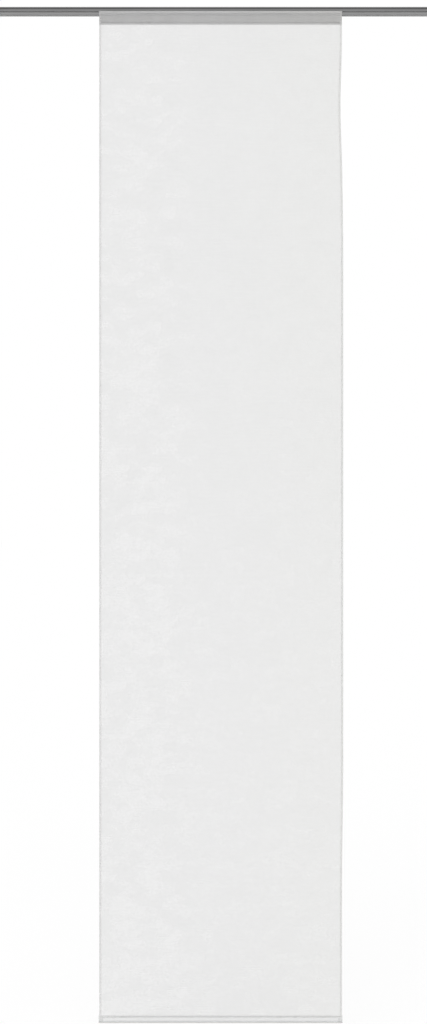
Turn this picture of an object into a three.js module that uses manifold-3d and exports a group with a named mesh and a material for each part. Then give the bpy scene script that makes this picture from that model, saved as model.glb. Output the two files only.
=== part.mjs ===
// Sliding panel curtain: a two-channel ceiling rail and one flat fabric panel that slides in its front channel.
// Millimetres. +X runs along the rail to the viewer's right, -Y points at the viewer and +Z is up.
// The origin is the middle of the rail's top face, which lies against the ceiling.

import * as THREE from 'three';
import { mergeVertices } from 'three/addons/utils/BufferGeometryUtils.js';
import Module from 'manifold-3d';

const wasm = await Module();
wasm.setup();

// Rail: an aluminium extrusion with two open channels and a closed chamber between them
const RAIL_LENGTH = 1200;
const RAIL_SIDE_WALL = 1.8;
const RAIL_TOP_PLATE = 1.6;
const RAIL_LIP = 1.4;
const RAIL_INNER_WALL = 1.4;
const RAIL_EDGE_RADIUS = 0.8;
const CHANNEL_WIDTH = 14;
const CHANNEL_HEIGHT = 6.5;
const SLOT_WIDTH = 6;
const CHAMBER_WIDTH = 9.6;
const CHAMBER_FLOOR = 2.2;
const CLIP_REBATE_HEIGHT = 4.4;
const CLIP_REBATE_DEPTH = 0.8;

// Countersunk holes for the ceiling screws, through the middle of the rail
const SCREW_HOLE_COUNT = 4;
const SCREW_HOLE_INSET = 50;
const SCREW_HOLE_DIAMETER = 4.5;
const SCREW_HEAD_DIAMETER = 8.4;

// End caps and end stops of the rail
const RAIL_CAP_THICKNESS = 2;
const RAIL_CAP_PLUG = 10;
const STOP_LENGTH = 16;
const STOP_SCREW_DIAMETER = 4;
const STOP_SCREW_SOCKET = 2;
const STOP_SCREW_SOCKET_DEPTH = 2;
const STOP_SCREW_RECESS = 0.4;

// Gliders: an I-shaped plastic slider, its head in the rail and its foot in the carrier
const GLIDER_COUNT = 4;
const GLIDER_LENGTH = 24;
const GLIDER_END_INSET = 30;
const GLIDER_HEAD_HEIGHT = 3;
const GLIDER_FOOT_HEIGHT = 2.4;
const GLIDER_NECK_WIDTH = 4.8;
const GLIDER_CORNER_RADIUS = 2;

// Carrier: the aluminium profile that the gliders carry and the fabric hangs on
const CARRIER_HEIGHT = 31.8;
const CARRIER_FRONT_PLATE = 1.8;
const CARRIER_WALL = 1.3;
const CARRIER_MOUTH = 5.6;
const CARRIER_CHANNEL_WIDTH = 8.8;
const CARRIER_CHANNEL_HEIGHT = 4.4;
const CARRIER_FOOT_FLANGE = 3.5;
const CARRIER_EDGE_RADIUS = 1;
const CARRIER_SETBACK = 0.5;
const CARRIER_CAP_THICKNESS = 1.2;
const CARRIER_CAP_PLUG = 8;
const CARRIER_DROP = 0.7;

// Hook and loop tapes
const TAPE_HEIGHT = 16;
const TAPE_THICKNESS = 0.9;
const TAPE_END_INSET = 4;
const TAPE_BED_DEPTH = 0.5;
const TAPE_BED_MARGIN = 1;
const TAPE_BED_TOP = 9.5;

// Fabric panel
const PANEL_WIDTH = 600;
const PANEL_DROP = 2481.5;
const FABRIC_THICKNESS = 0.5;
const FABRIC_TOP_GAP = 0.3;
const SIDE_HEM = 5.5;
const TOP_HEM = 5.5;

// Weight bar at the bottom, hung on a keder rod that lies in the fabric's lowest fold
const KEDER_DIAMETER = 3;
const KEDER_END_INSET = 2;
const BAR_HEIGHT = 18.5;
const BAR_DEPTH = 8.6;
const BAR_WALL = 1.2;
const BAR_MOUTH = 2.2;
const BAR_TOP_RADIUS = 0.8;
const BAR_BOTTOM_RADIUS = 3.2;
const BAR_CAP_THICKNESS = 1.2;
const BAR_CAP_PLUG = 10;

// Clearances
const SLIDE_CLEARANCE = 0.4;
const SEAT_GAP = 0.3;
const LAYER_GAP = 0.1;

// Facets
const CURVE_STEPS = 8;
const HOLE_STEPS = 24;

// Sizes that follow from the ones above
const RAIL_HEIGHT = RAIL_TOP_PLATE + CHANNEL_HEIGHT + RAIL_LIP;
const RAIL_DEPTH = 2 * (RAIL_SIDE_WALL + CHANNEL_WIDTH + RAIL_INNER_WALL) + CHAMBER_WIDTH;
const CHANNEL_OFFSET = (CHAMBER_WIDTH + CHANNEL_WIDTH) / 2 + RAIL_INNER_WALL;
const LIP_TOP = -RAIL_HEIGHT + RAIL_LIP;
const STOP_OUTER_FACE = RAIL_LENGTH / 2 - RAIL_CAP_PLUG - SEAT_GAP;
const CARRIER_LENGTH = PANEL_WIDTH - 2 * (CARRIER_SETBACK + CARRIER_CAP_THICKNESS + LAYER_GAP);
const CARRIER_FRONT = -(CARRIER_CHANNEL_WIDTH / 2 + CARRIER_FRONT_PLATE);
const CARRIER_BACK = CARRIER_CHANNEL_WIDTH / 2 + CARRIER_WALL;
const HOOK_TAPE_BACK = CARRIER_FRONT + TAPE_BED_DEPTH - LAYER_GAP;
const LOOP_TAPE_BACK = HOOK_TAPE_BACK - TAPE_THICKNESS - LAYER_GAP;
const FABRIC_FRONT = LOOP_TAPE_BACK - TAPE_THICKNESS - LAYER_GAP - 2 * FABRIC_THICKNESS;
const TAPE_TOP = -CARRIER_DROP - TAPE_BED_TOP - TAPE_BED_MARGIN;
const BAR_LENGTH = PANEL_WIDTH + 2 * SEAT_GAP;
const BAR_TOP = -FABRIC_TOP_GAP - PANEL_DROP;
const KEDER_FOLD_INNER = KEDER_DIAMETER / 2 + LAYER_GAP;
const KEDER_FOLD_OUTER = KEDER_FOLD_INNER + FABRIC_THICKNESS;
const KEDER_Z = -BAR_WALL - SEAT_GAP - KEDER_FOLD_OUTER;
const BAR_RIB_TOP = KEDER_Z - KEDER_FOLD_OUTER - SEAT_GAP;
const BAR_CHAMBER_TOP = BAR_RIB_TOP - BAR_WALL;

const MATERIALS = {
  rail: new THREE.MeshStandardMaterial({ color: 0x808182, metalness: 1, roughness: 0.35 }),
  carrier: new THREE.MeshStandardMaterial({ color: 0x9c9d9e, metalness: 1, roughness: 0.4 }),
  cap: new THREE.MeshStandardMaterial({ color: 0x8d8f91, metalness: 0, roughness: 0.5 }),
  glider: new THREE.MeshStandardMaterial({ color: 0xf0f0ec, metalness: 0, roughness: 0.4 }),
  steel: new THREE.MeshStandardMaterial({ color: 0x9a9c9f, metalness: 1, roughness: 0.3 }),
  hook: new THREE.MeshStandardMaterial({ color: 0xd8d8d5, metalness: 0, roughness: 0.8 }),
  loop: new THREE.MeshStandardMaterial({ color: 0xe4e4e1, metalness: 0, roughness: 0.95 }),
  fabric: new THREE.MeshStandardMaterial({ color: 0xeaeae8, metalness: 0, roughness: 0.95 }),
  bar: new THREE.MeshStandardMaterial({ color: 0xe2e3e2, metalness: 0, roughness: 0.35 }),
};

// A section is drawn with its first axis along Y and its second along Z, and runs along X.
const SECTION_ALONG_X = new THREE.Matrix4().makeBasis(
  new THREE.Vector3(0, 1, 0),
  new THREE.Vector3(0, 0, 1),
  new THREE.Vector3(1, 0, 0),
);

function extrudeAlongX(section, length) {
  const settings = { depth: length, bevelEnabled: false, curveSegments: CURVE_STEPS };
  const geometry = new THREE.ExtrudeGeometry(section, settings);
  geometry.translate(0, 0, -length / 2);
  return geometry.applyMatrix4(SECTION_ALONG_X);
}

function extrudeAlongZ(section, height) {
  const settings = { depth: height, bevelEnabled: false, curveSegments: CURVE_STEPS };
  return new THREE.ExtrudeGeometry(section, settings);
}

function block(sizeX, sizeY, sizeZ, x, y, z) {
  return new THREE.BoxGeometry(sizeX, sizeY, sizeZ).translate(x, y, z);
}

// A rectangle from (left, low) to (right, high) whose lower and upper corners have their own radii
function rectangle(left, low, right, high, lowRadius = 0, highRadius = 0) {
  const shape = new THREE.Shape();
  shape.moveTo(left, high - highRadius);
  shape.lineTo(left, low + lowRadius);
  if (lowRadius > 0) shape.absarc(left + lowRadius, low + lowRadius, lowRadius, Math.PI, 1.5 * Math.PI);
  shape.lineTo(right - lowRadius, low);
  if (lowRadius > 0) shape.absarc(right - lowRadius, low + lowRadius, lowRadius, 1.5 * Math.PI, 2 * Math.PI);
  shape.lineTo(right, high - highRadius);
  if (highRadius > 0) shape.absarc(right - highRadius, high - highRadius, highRadius, 0, 0.5 * Math.PI);
  shape.lineTo(left + highRadius, high);
  if (highRadius > 0) shape.absarc(left + highRadius, high - highRadius, highRadius, 0.5 * Math.PI, Math.PI);
  return shape;
}

function toSolid(geometry) {
  const bare = geometry.clone();
  bare.deleteAttribute('normal');
  bare.deleteAttribute('uv');
  const merged = mergeVertices(bare);
  const mesh = new wasm.Mesh({
    numProp: 3,
    vertProperties: new Float32Array(merged.attributes.position.array),
    triVerts: new Uint32Array(merged.index.array),
  });
  return new wasm.Manifold(mesh);
}

function toGeometry(solid) {
  const mesh = solid.getMesh();
  const geometry = new THREE.BufferGeometry();
  geometry.setAttribute('position', new THREE.BufferAttribute(mesh.vertProperties, 3));
  geometry.setIndex(new THREE.BufferAttribute(mesh.triVerts, 1));
  geometry.computeVertexNormals();
  return geometry;
}

function joined(...geometries) {
  return toGeometry(geometries.map(toSolid).reduce((whole, piece) => whole.add(piece)));
}

function cut(geometry, ...tools) {
  return toGeometry(tools.map(toSolid).reduce((whole, tool) => whole.subtract(tool), toSolid(geometry)));
}

function common(first, second) {
  return toGeometry(toSolid(first).intersect(toSolid(second)));
}

function piece(name, geometry, material, x = 0, y = 0, z = 0) {
  const mesh = new THREE.Mesh(geometry, material);
  mesh.name = name;
  mesh.position.set(x, y, z);
  return mesh;
}

// Track

// One open channel, walked from its slot's front edge over the inside to the slot's rear edge
function traceChannel(shape, centre) {
  const slot = SLOT_WIDTH / 2;
  const inside = CHANNEL_WIDTH / 2;
  shape.lineTo(centre - slot, -RAIL_HEIGHT);
  shape.lineTo(centre - slot, LIP_TOP);
  shape.lineTo(centre - inside, LIP_TOP);
  shape.lineTo(centre - inside, -RAIL_TOP_PLATE);
  shape.lineTo(centre + inside, -RAIL_TOP_PLATE);
  shape.lineTo(centre + inside, LIP_TOP);
  shape.lineTo(centre + slot, LIP_TOP);
  shape.lineTo(centre + slot, -RAIL_HEIGHT);
}

// The rail's section. A rebate along the top of both sides takes the spring jaws of ceiling clips.
function railSection() {
  const side = RAIL_DEPTH / 2;
  const radius = RAIL_EDGE_RADIUS;
  const shape = new THREE.Shape();
  shape.moveTo(CLIP_REBATE_DEPTH - side, 0);
  shape.lineTo(CLIP_REBATE_DEPTH - side, -CLIP_REBATE_HEIGHT);
  shape.lineTo(-side, -CLIP_REBATE_HEIGHT);
  shape.lineTo(-side, radius - RAIL_HEIGHT);
  shape.absarc(radius - side, radius - RAIL_HEIGHT, radius, Math.PI, 1.5 * Math.PI);
  traceChannel(shape, -CHANNEL_OFFSET);
  traceChannel(shape, CHANNEL_OFFSET);
  shape.lineTo(side - radius, -RAIL_HEIGHT);
  shape.absarc(side - radius, radius - RAIL_HEIGHT, radius, 1.5 * Math.PI, 2 * Math.PI);
  shape.lineTo(side, -CLIP_REBATE_HEIGHT);
  shape.lineTo(side - CLIP_REBATE_DEPTH, -CLIP_REBATE_HEIGHT);
  shape.lineTo(side - CLIP_REBATE_DEPTH, 0);
  const chamber = CHAMBER_WIDTH / 2;
  shape.holes.push(rectangle(-chamber, CHAMBER_FLOOR - RAIL_HEIGHT, chamber, -RAIL_TOP_PLATE));
  return shape;
}

// A through hole whose countersink opens in the rail's underside
function screwHoleTool(x) {
  const shank = SCREW_HOLE_DIAMETER / 2;
  const head = SCREW_HEAD_DIAMETER / 2;
  const below = -RAIL_HEIGHT - 1;
  const profile = [
    new THREE.Vector2(0, below),
    new THREE.Vector2(head, below),
    new THREE.Vector2(head, -RAIL_HEIGHT),
    new THREE.Vector2(shank, -RAIL_HEIGHT + head - shank),
    new THREE.Vector2(shank, 1),
    new THREE.Vector2(0, 1),
  ];
  return new THREE.LatheGeometry(profile, HOLE_STEPS).rotateX(Math.PI / 2).translate(x, 0, 0);
}

function makeRail() {
  const first = SCREW_HOLE_INSET - RAIL_LENGTH / 2;
  const pitch = (RAIL_LENGTH - 2 * SCREW_HOLE_INSET) / (SCREW_HOLE_COUNT - 1);
  const holes = Array.from({ length: SCREW_HOLE_COUNT }, (_, index) => screwHoleTool(first + index * pitch));
  const bar = extrudeAlongX(railSection(), RAIL_LENGTH);
  return piece('track_rail', cut(bar, ...holes), MATERIALS.rail);
}

// A flange over the rail's end with a plug for each channel. side is -1 at the left end and 1 at the right.
function makeRailEndCap(name, side) {
  const half = RAIL_DEPTH / 2;
  const outline = rectangle(-half, -RAIL_HEIGHT, half, 0, RAIL_EDGE_RADIUS);
  const flange = extrudeAlongX(outline, RAIL_CAP_THICKNESS);
  const plugWidth = CHANNEL_WIDTH - 2 * SLIDE_CLEARANCE;
  const plugHeight = CHANNEL_HEIGHT - 2 * SEAT_GAP;
  const plugLength = RAIL_CAP_PLUG + LAYER_GAP;
  const plugX = -side * (RAIL_CAP_THICKNESS + plugLength) / 2;
  const plugZ = -RAIL_TOP_PLATE - CHANNEL_HEIGHT / 2;
  const plugs = [-CHANNEL_OFFSET, CHANNEL_OFFSET].map((y) =>
    block(plugLength, plugWidth, plugHeight, plugX, y, plugZ),
  );
  const x = side * ((RAIL_LENGTH + RAIL_CAP_THICKNESS) / 2 + LAYER_GAP);
  return piece(name, joined(flange, ...plugs), MATERIALS.cap, x);
}

function stopScrewBore() {
  const radius = STOP_SCREW_DIAMETER / 2 + LAYER_GAP;
  return new THREE.CylinderGeometry(radius, radius, 2 * RAIL_HEIGHT, HOLE_STEPS).rotateX(Math.PI / 2);
}

// A block in the front channel that the gliders run against
function makeEndStop(name, side) {
  const width = CHANNEL_WIDTH - 2 * SLIDE_CLEARANCE;
  const height = CHANNEL_HEIGHT - 2 * SEAT_GAP;
  const body = new THREE.BoxGeometry(STOP_LENGTH, width, height);
  const x = side * (STOP_OUTER_FACE - STOP_LENGTH / 2);
  const z = -RAIL_TOP_PLATE - CHANNEL_HEIGHT / 2;
  return piece(name, cut(body, stopScrewBore()), MATERIALS.cap, x, -CHANNEL_OFFSET, z);
}

// The set screw that jams an end stop in its channel, with a hexagon socket in its lower end
function makeStopScrew(name, side) {
  const top = -RAIL_TOP_PLATE - LAYER_GAP;
  const bottom = LIP_TOP + SEAT_GAP + STOP_SCREW_RECESS;
  const radius = STOP_SCREW_DIAMETER / 2;
  const length = top - bottom;
  const shank = new THREE.CylinderGeometry(radius, radius, length, HOLE_STEPS).rotateX(Math.PI / 2);
  const corner = STOP_SCREW_SOCKET / Math.sqrt(3);
  const socket = new THREE.CylinderGeometry(corner, corner, 2 * STOP_SCREW_SOCKET_DEPTH, 6);
  socket.rotateX(Math.PI / 2).translate(0, 0, -length / 2);
  const x = side * (STOP_OUTER_FACE - STOP_LENGTH / 2);
  return piece(name, cut(shank, socket), MATERIALS.steel, x, -CHANNEL_OFFSET, (top + bottom) / 2);
}

// Panel. Its group's origin lies under the middle of the front channel, level with the rail's underside.

function gliderSection() {
  const headWidth = CHANNEL_WIDTH - 2 * SLIDE_CLEARANCE;
  const footWidth = CARRIER_CHANNEL_WIDTH - 2 * SEAT_GAP;
  const headBottom = RAIL_LIP + SEAT_GAP;
  const footTop = -CARRIER_DROP - CARRIER_WALL - SEAT_GAP;
  const neck = GLIDER_NECK_WIDTH / 2;
  const shape = new THREE.Shape();
  shape.moveTo(-headWidth / 2, headBottom + GLIDER_HEAD_HEIGHT);
  shape.lineTo(-headWidth / 2, headBottom);
  shape.lineTo(-neck, headBottom);
  shape.lineTo(-neck, footTop);
  shape.lineTo(-footWidth / 2, footTop);
  shape.lineTo(-footWidth / 2, footTop - GLIDER_FOOT_HEIGHT);
  shape.lineTo(footWidth / 2, footTop - GLIDER_FOOT_HEIGHT);
  shape.lineTo(footWidth / 2, footTop);
  shape.lineTo(neck, footTop);
  shape.lineTo(neck, headBottom);
  shape.lineTo(headWidth / 2, headBottom);
  shape.lineTo(headWidth / 2, headBottom + GLIDER_HEAD_HEIGHT);
  return shape;
}

function makeGlider(name, x) {
  const half = GLIDER_LENGTH / 2;
  const width = CHANNEL_WIDTH / 2;
  const radius = GLIDER_CORNER_RADIUS;
  const plan = rectangle(-half, -width, half, width, radius, radius);
  const reach = RAIL_HEIGHT + CARRIER_HEIGHT;
  const envelope = extrudeAlongZ(plan, 2 * reach).translate(0, 0, -reach);
  const geometry = common(extrudeAlongX(gliderSection(), GLIDER_LENGTH), envelope);
  return piece(name, geometry, MATERIALS.glider, x);
}

function makeGliders() {
  const first = GLIDER_END_INSET - PANEL_WIDTH / 2;
  const pitch = (PANEL_WIDTH - 2 * GLIDER_END_INSET) / (GLIDER_COUNT - 1);
  return Array.from({ length: GLIDER_COUNT }, (_, index) =>
    makeGlider(`glider_${index + 1}`, first + index * pitch),
  );
}

// The carrier's section from its top edge down: a channel for the gliders' feet, then a front plate
// with a shallow bed for the tape, and a short flange at its lower edge
function carrierSection() {
  const mouth = CARRIER_MOUTH / 2;
  const inside = CARRIER_CHANNEL_WIDTH / 2;
  const radius = CARRIER_EDGE_RADIUS;
  const channelFloor = -CARRIER_WALL - CARRIER_CHANNEL_HEIGHT;
  const plateBack = CARRIER_FRONT + CARRIER_FRONT_PLATE;
  const bedTop = -TAPE_BED_TOP;
  const bedBottom = bedTop - TAPE_HEIGHT - 2 * TAPE_BED_MARGIN;
  const shape = new THREE.Shape();
  shape.moveTo(CARRIER_FRONT, -radius);
  shape.lineTo(CARRIER_FRONT, bedTop);
  shape.lineTo(CARRIER_FRONT + TAPE_BED_DEPTH, bedTop);
  shape.lineTo(CARRIER_FRONT + TAPE_BED_DEPTH, bedBottom);
  shape.lineTo(CARRIER_FRONT, bedBottom);
  shape.lineTo(CARRIER_FRONT, radius - CARRIER_HEIGHT);
  shape.absarc(CARRIER_FRONT + radius, radius - CARRIER_HEIGHT, radius, Math.PI, 1.5 * Math.PI);
  shape.lineTo(plateBack + CARRIER_FOOT_FLANGE, -CARRIER_HEIGHT);
  shape.lineTo(plateBack + CARRIER_FOOT_FLANGE, CARRIER_WALL - CARRIER_HEIGHT);
  shape.lineTo(plateBack, CARRIER_WALL - CARRIER_HEIGHT);
  shape.lineTo(plateBack, channelFloor - CARRIER_WALL);
  shape.lineTo(CARRIER_BACK, channelFloor - CARRIER_WALL);
  shape.lineTo(CARRIER_BACK, -radius);
  shape.absarc(CARRIER_BACK - radius, -radius, radius, 0, 0.5 * Math.PI);
  shape.lineTo(mouth, 0);
  shape.lineTo(mouth, -CARRIER_WALL);
  shape.lineTo(inside, -CARRIER_WALL);
  shape.lineTo(inside, channelFloor);
  shape.lineTo(-inside, channelFloor);
  shape.lineTo(-inside, -CARRIER_WALL);
  shape.lineTo(-mouth, -CARRIER_WALL);
  shape.lineTo(-mouth, 0);
  shape.lineTo(CARRIER_FRONT + radius, 0);
  shape.absarc(CARRIER_FRONT + radius, -radius, radius, 0.5 * Math.PI, Math.PI);
  return shape;
}

function makeCarrier() {
  const geometry = extrudeAlongX(carrierSection(), CARRIER_LENGTH);
  return piece('carrier_profile', geometry, MATERIALS.carrier, 0, 0, -CARRIER_DROP);
}

function makeCarrierEndCap(name, side) {
  const radius = CARRIER_EDGE_RADIUS;
  const outline = rectangle(CARRIER_FRONT, -CARRIER_HEIGHT, CARRIER_BACK, 0, radius, radius);
  const flange = extrudeAlongX(outline, CARRIER_CAP_THICKNESS);
  const plugLength = CARRIER_CAP_PLUG + LAYER_GAP;
  const plugX = -side * (CARRIER_CAP_THICKNESS + plugLength) / 2;
  const plugWidth = CARRIER_CHANNEL_WIDTH - 2 * SEAT_GAP;
  const plugHeight = CARRIER_CHANNEL_HEIGHT - 2 * SEAT_GAP;
  const plugZ = -CARRIER_WALL - CARRIER_CHANNEL_HEIGHT / 2;
  const plug = block(plugLength, plugWidth, plugHeight, plugX, 0, plugZ);
  const x = side * ((CARRIER_LENGTH + CARRIER_CAP_THICKNESS) / 2 + LAYER_GAP);
  return piece(name, joined(flange, plug), MATERIALS.cap, x, 0, -CARRIER_DROP);
}

function makeTape(name, back, material) {
  const geometry = new THREE.BoxGeometry(CARRIER_LENGTH - 2 * TAPE_END_INSET, TAPE_THICKNESS, TAPE_HEIGHT);
  return piece(name, geometry, material, 0, back - TAPE_THICKNESS / 2, TAPE_TOP - TAPE_HEIGHT / 2);
}

// The fabric's plan: one layer, folded back on itself along both sides. Its front lies at 0.
function fabricPlan() {
  const layer = FABRIC_THICKNESS;
  const side = PANEL_WIDTH / 2;
  const shape = new THREE.Shape();
  shape.moveTo(layer - side, 0);
  shape.lineTo(side - layer, 0);
  shape.absarc(side - layer, layer, layer, -0.5 * Math.PI, 0.5 * Math.PI);
  shape.lineTo(side - SIDE_HEM, 2 * layer);
  shape.lineTo(side - SIDE_HEM, layer);
  shape.lineTo(SIDE_HEM - side, layer);
  shape.lineTo(SIDE_HEM - side, 2 * layer);
  shape.lineTo(layer - side, 2 * layer);
  shape.absarc(layer - side, layer, layer, 0.5 * Math.PI, 1.5 * Math.PI);
  return shape;
}

// The fabric with its side hems, the hem behind its top edge and the fold round the keder rod
function makeFabric() {
  const layer = FABRIC_THICKNESS;
  const foldZ = BAR_TOP + KEDER_Z;
  const bottom = foldZ + KEDER_FOLD_INNER + layer / 2;
  const height = -FABRIC_TOP_GAP - bottom;
  const sheet = extrudeAlongZ(fabricPlan(), height).translate(0, 0, bottom);
  const tailHeight = BAR_TOP - bottom;
  const between = PANEL_WIDTH - 2 * SIDE_HEM + 2 * layer;
  const topHem = block(between, 1.5 * layer, TOP_HEM, 0, 1.25 * layer, -FABRIC_TOP_GAP - TOP_HEM / 2);
  const tail = block(between, 1.5 * layer, tailHeight, 0, 1.25 * layer, bottom + tailHeight / 2);
  const ring = new THREE.Shape().absarc(layer, foldZ, KEDER_FOLD_OUTER, 0, 2 * Math.PI);
  ring.holes.push(new THREE.Path().absarc(layer, foldZ, KEDER_FOLD_INNER, 0, 2 * Math.PI));
  const fold = extrudeAlongX(ring, PANEL_WIDTH);
  return piece('panel_fabric', joined(sheet, topHem, tail, fold), MATERIALS.fabric, 0, FABRIC_FRONT);
}

function makeKeder() {
  const radius = KEDER_DIAMETER / 2;
  const length = PANEL_WIDTH - 2 * KEDER_END_INSET;
  const geometry = new THREE.CylinderGeometry(radius, radius, length, HOLE_STEPS).rotateZ(Math.PI / 2);
  const y = FABRIC_FRONT + FABRIC_THICKNESS;
  return piece('keder_rod', geometry, MATERIALS.glider, 0, y, BAR_TOP + KEDER_Z);
}

function barChamber(clearance) {
  const side = BAR_DEPTH / 2 - BAR_WALL - clearance;
  const low = BAR_WALL - BAR_HEIGHT + clearance;
  const radius = BAR_BOTTOM_RADIUS - BAR_WALL - clearance;
  return rectangle(-side, low, side, BAR_CHAMBER_TOP - clearance, radius);
}

// The weight bar's section: the keder's channel, open at the top, above a closed chamber
function barSection() {
  const side = BAR_DEPTH / 2;
  const inside = side - BAR_WALL;
  const mouth = BAR_MOUTH / 2;
  const low = BAR_BOTTOM_RADIUS;
  const high = BAR_TOP_RADIUS;
  const shape = new THREE.Shape();
  shape.moveTo(-side, -high);
  shape.lineTo(-side, low - BAR_HEIGHT);
  shape.absarc(low - side, low - BAR_HEIGHT, low, Math.PI, 1.5 * Math.PI);
  shape.lineTo(side - low, -BAR_HEIGHT);
  shape.absarc(side - low, low - BAR_HEIGHT, low, 1.5 * Math.PI, 2 * Math.PI);
  shape.lineTo(side, -high);
  shape.absarc(side - high, -high, high, 0, 0.5 * Math.PI);
  shape.lineTo(mouth, 0);
  shape.lineTo(mouth, -BAR_WALL);
  shape.lineTo(inside, -BAR_WALL);
  shape.lineTo(inside, BAR_RIB_TOP);
  shape.lineTo(-inside, BAR_RIB_TOP);
  shape.lineTo(-inside, -BAR_WALL);
  shape.lineTo(-mouth, -BAR_WALL);
  shape.lineTo(-mouth, 0);
  shape.lineTo(high - side, 0);
  shape.absarc(high - side, -high, high, 0.5 * Math.PI, Math.PI);
  shape.holes.push(barChamber(0));
  return shape;
}

function makeBar() {
  const geometry = extrudeAlongX(barSection(), BAR_LENGTH);
  return piece('weight_bar', geometry, MATERIALS.bar, 0, FABRIC_FRONT + FABRIC_THICKNESS, BAR_TOP);
}

function makeBarEndCap(name, side) {
  const half = BAR_DEPTH / 2;
  const outline = rectangle(-half, -BAR_HEIGHT, half, 0, BAR_BOTTOM_RADIUS, BAR_TOP_RADIUS);
  const flange = extrudeAlongX(outline, BAR_CAP_THICKNESS);
  const plugLength = BAR_CAP_PLUG + LAYER_GAP;
  const plugX = -side * (BAR_CAP_THICKNESS + plugLength) / 2;
  const plug = extrudeAlongX(barChamber(SEAT_GAP), plugLength).translate(plugX, 0, 0);
  const x = side * ((BAR_LENGTH + BAR_CAP_THICKNESS) / 2 + LAYER_GAP);
  const y = FABRIC_FRONT + FABRIC_THICKNESS;
  return piece(name, joined(flange, plug), MATERIALS.bar, x, y, BAR_TOP);
}

const track = new THREE.Group();
track.add(
  makeRail(),
  makeRailEndCap('rail_end_cap_left', -1),
  makeRailEndCap('rail_end_cap_right', 1),
  makeEndStop('end_stop_left', -1),
  makeEndStop('end_stop_right', 1),
  makeStopScrew('end_stop_screw_left', -1),
  makeStopScrew('end_stop_screw_right', 1),
);

const panel = new THREE.Group();
panel.position.set(0, -CHANNEL_OFFSET, -RAIL_HEIGHT);
panel.add(
  ...makeGliders(),
  makeCarrier(),
  makeCarrierEndCap('carrier_end_cap_left', -1),
  makeCarrierEndCap('carrier_end_cap_right', 1),
  makeTape('hook_tape', HOOK_TAPE_BACK, MATERIALS.hook),
  makeTape('loop_tape', LOOP_TAPE_BACK, MATERIALS.loop),
  makeFabric(),
  makeKeder(),
  makeBar(),
  makeBarEndCap('weight_bar_end_cap_left', -1),
  makeBarEndCap('weight_bar_end_cap_right', 1),
);

const group = new THREE.Group();
group.add(track, panel);

export default group;
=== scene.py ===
"""Sliding panel curtain: the rail, carrier, cloth panel and weight bar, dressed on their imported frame."""

import math

import bpy
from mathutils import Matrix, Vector


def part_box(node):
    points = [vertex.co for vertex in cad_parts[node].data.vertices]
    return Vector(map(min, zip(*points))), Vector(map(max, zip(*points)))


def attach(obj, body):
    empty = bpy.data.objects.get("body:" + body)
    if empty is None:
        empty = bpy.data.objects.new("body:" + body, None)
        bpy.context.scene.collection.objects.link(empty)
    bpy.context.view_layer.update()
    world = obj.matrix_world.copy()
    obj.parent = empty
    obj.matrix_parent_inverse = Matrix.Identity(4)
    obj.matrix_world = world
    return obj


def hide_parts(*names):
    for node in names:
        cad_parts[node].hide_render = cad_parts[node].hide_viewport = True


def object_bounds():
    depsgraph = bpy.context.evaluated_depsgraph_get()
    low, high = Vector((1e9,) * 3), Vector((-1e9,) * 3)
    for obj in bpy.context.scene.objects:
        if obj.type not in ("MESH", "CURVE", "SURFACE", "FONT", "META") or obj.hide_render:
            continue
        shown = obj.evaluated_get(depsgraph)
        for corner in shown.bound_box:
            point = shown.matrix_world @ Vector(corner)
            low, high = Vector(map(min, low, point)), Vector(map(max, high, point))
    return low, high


bl_info = {
    "name": "Sliding panel curtain",
    "version": (1, 0, 0),
    "blender": (4, 5, 0),
    "location": "View3D > Sidebar > Panel curtain",
    "description": "Dresses a sliding cloth panel, its carrier and its ceiling rail",
    "category": "Object",
}

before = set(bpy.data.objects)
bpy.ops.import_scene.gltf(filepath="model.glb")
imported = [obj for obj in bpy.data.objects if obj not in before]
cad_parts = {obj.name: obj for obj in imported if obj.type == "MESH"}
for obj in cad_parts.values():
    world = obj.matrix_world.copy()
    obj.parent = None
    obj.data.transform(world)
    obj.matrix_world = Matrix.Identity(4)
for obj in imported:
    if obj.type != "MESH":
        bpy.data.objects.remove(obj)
CAD_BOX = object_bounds()

TRACK = "track"
PANEL = "panel"
MM = 0.001

# The view: the photograph's height in pixels, its scale at the cloth, and where it was taken from
PHOTO_HEIGHT_PX = 1024
CLOTH_MM_PER_PX = 2.469
CAMERA_DISTANCE = 3.68
CAMERA_LEFT = 0.0175
CAMERA_BELOW_CEILING = 1.2478
SENSOR_MM = 36.0

# Where the two soft lamps shine, how wide they are in degrees, and how far off they stand
KEY_TOWARDS = Vector((0.15, 0.82, -0.55)).normalized()
FILL_TOWARDS = Vector((-0.3, -0.75, -0.6)).normalized()
LAMP_SPREAD = 50.0
LAMP_DISTANCE = 3.0

# The floor's radius in metres, and the sides of its outline
FLOOR_RADIUS = 60.0
FLOOR_SIDES = 96

# Light passes through this many half-clear faces
CLEAR_LAYERS = 32

# Places this near to each other count as one place
NEAR = 0.01 * MM

# How a solid is cleaned and eased: its triangles are merged, joined where they are flat, and its edges cut
MERGE_WITHIN = 0.002 * MM
FLAT_WITHIN = math.radians(0.5)
EDGE_FROM = math.radians(40)
EASE_STEPS = 2

# The cloth's own make
CLOTH_COLUMNS = 60
CLOTH_ROWS = 240
HEM = 5.5 * MM
HEM_GAP = 0.04 * MM
HEM_END_GAP = 0.5 * MM
CLOTH_BEFORE_BAR_MIDDLE = 0.5 * MM
KEDER_FOLD_STEPS = 22
KEDER_FOLD_GAP = 0.1 * MM
TAIL_TOP_GAP = 0.6 * MM
SEAM_INSET = 1.2 * MM
COVER = "cover"

# Stitches and tufts: a stitch's length and the length of its tapered ends as shares of the pitch, the inset
# of its ends as a share of its radius, and the inset of a tuft as a share of the tufts' pitch
STITCH_LENGTH = 0.5
STITCH_TAPER = 0.14
STITCH_INSET = 0.5
TUFT_INSET = 0.24

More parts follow.
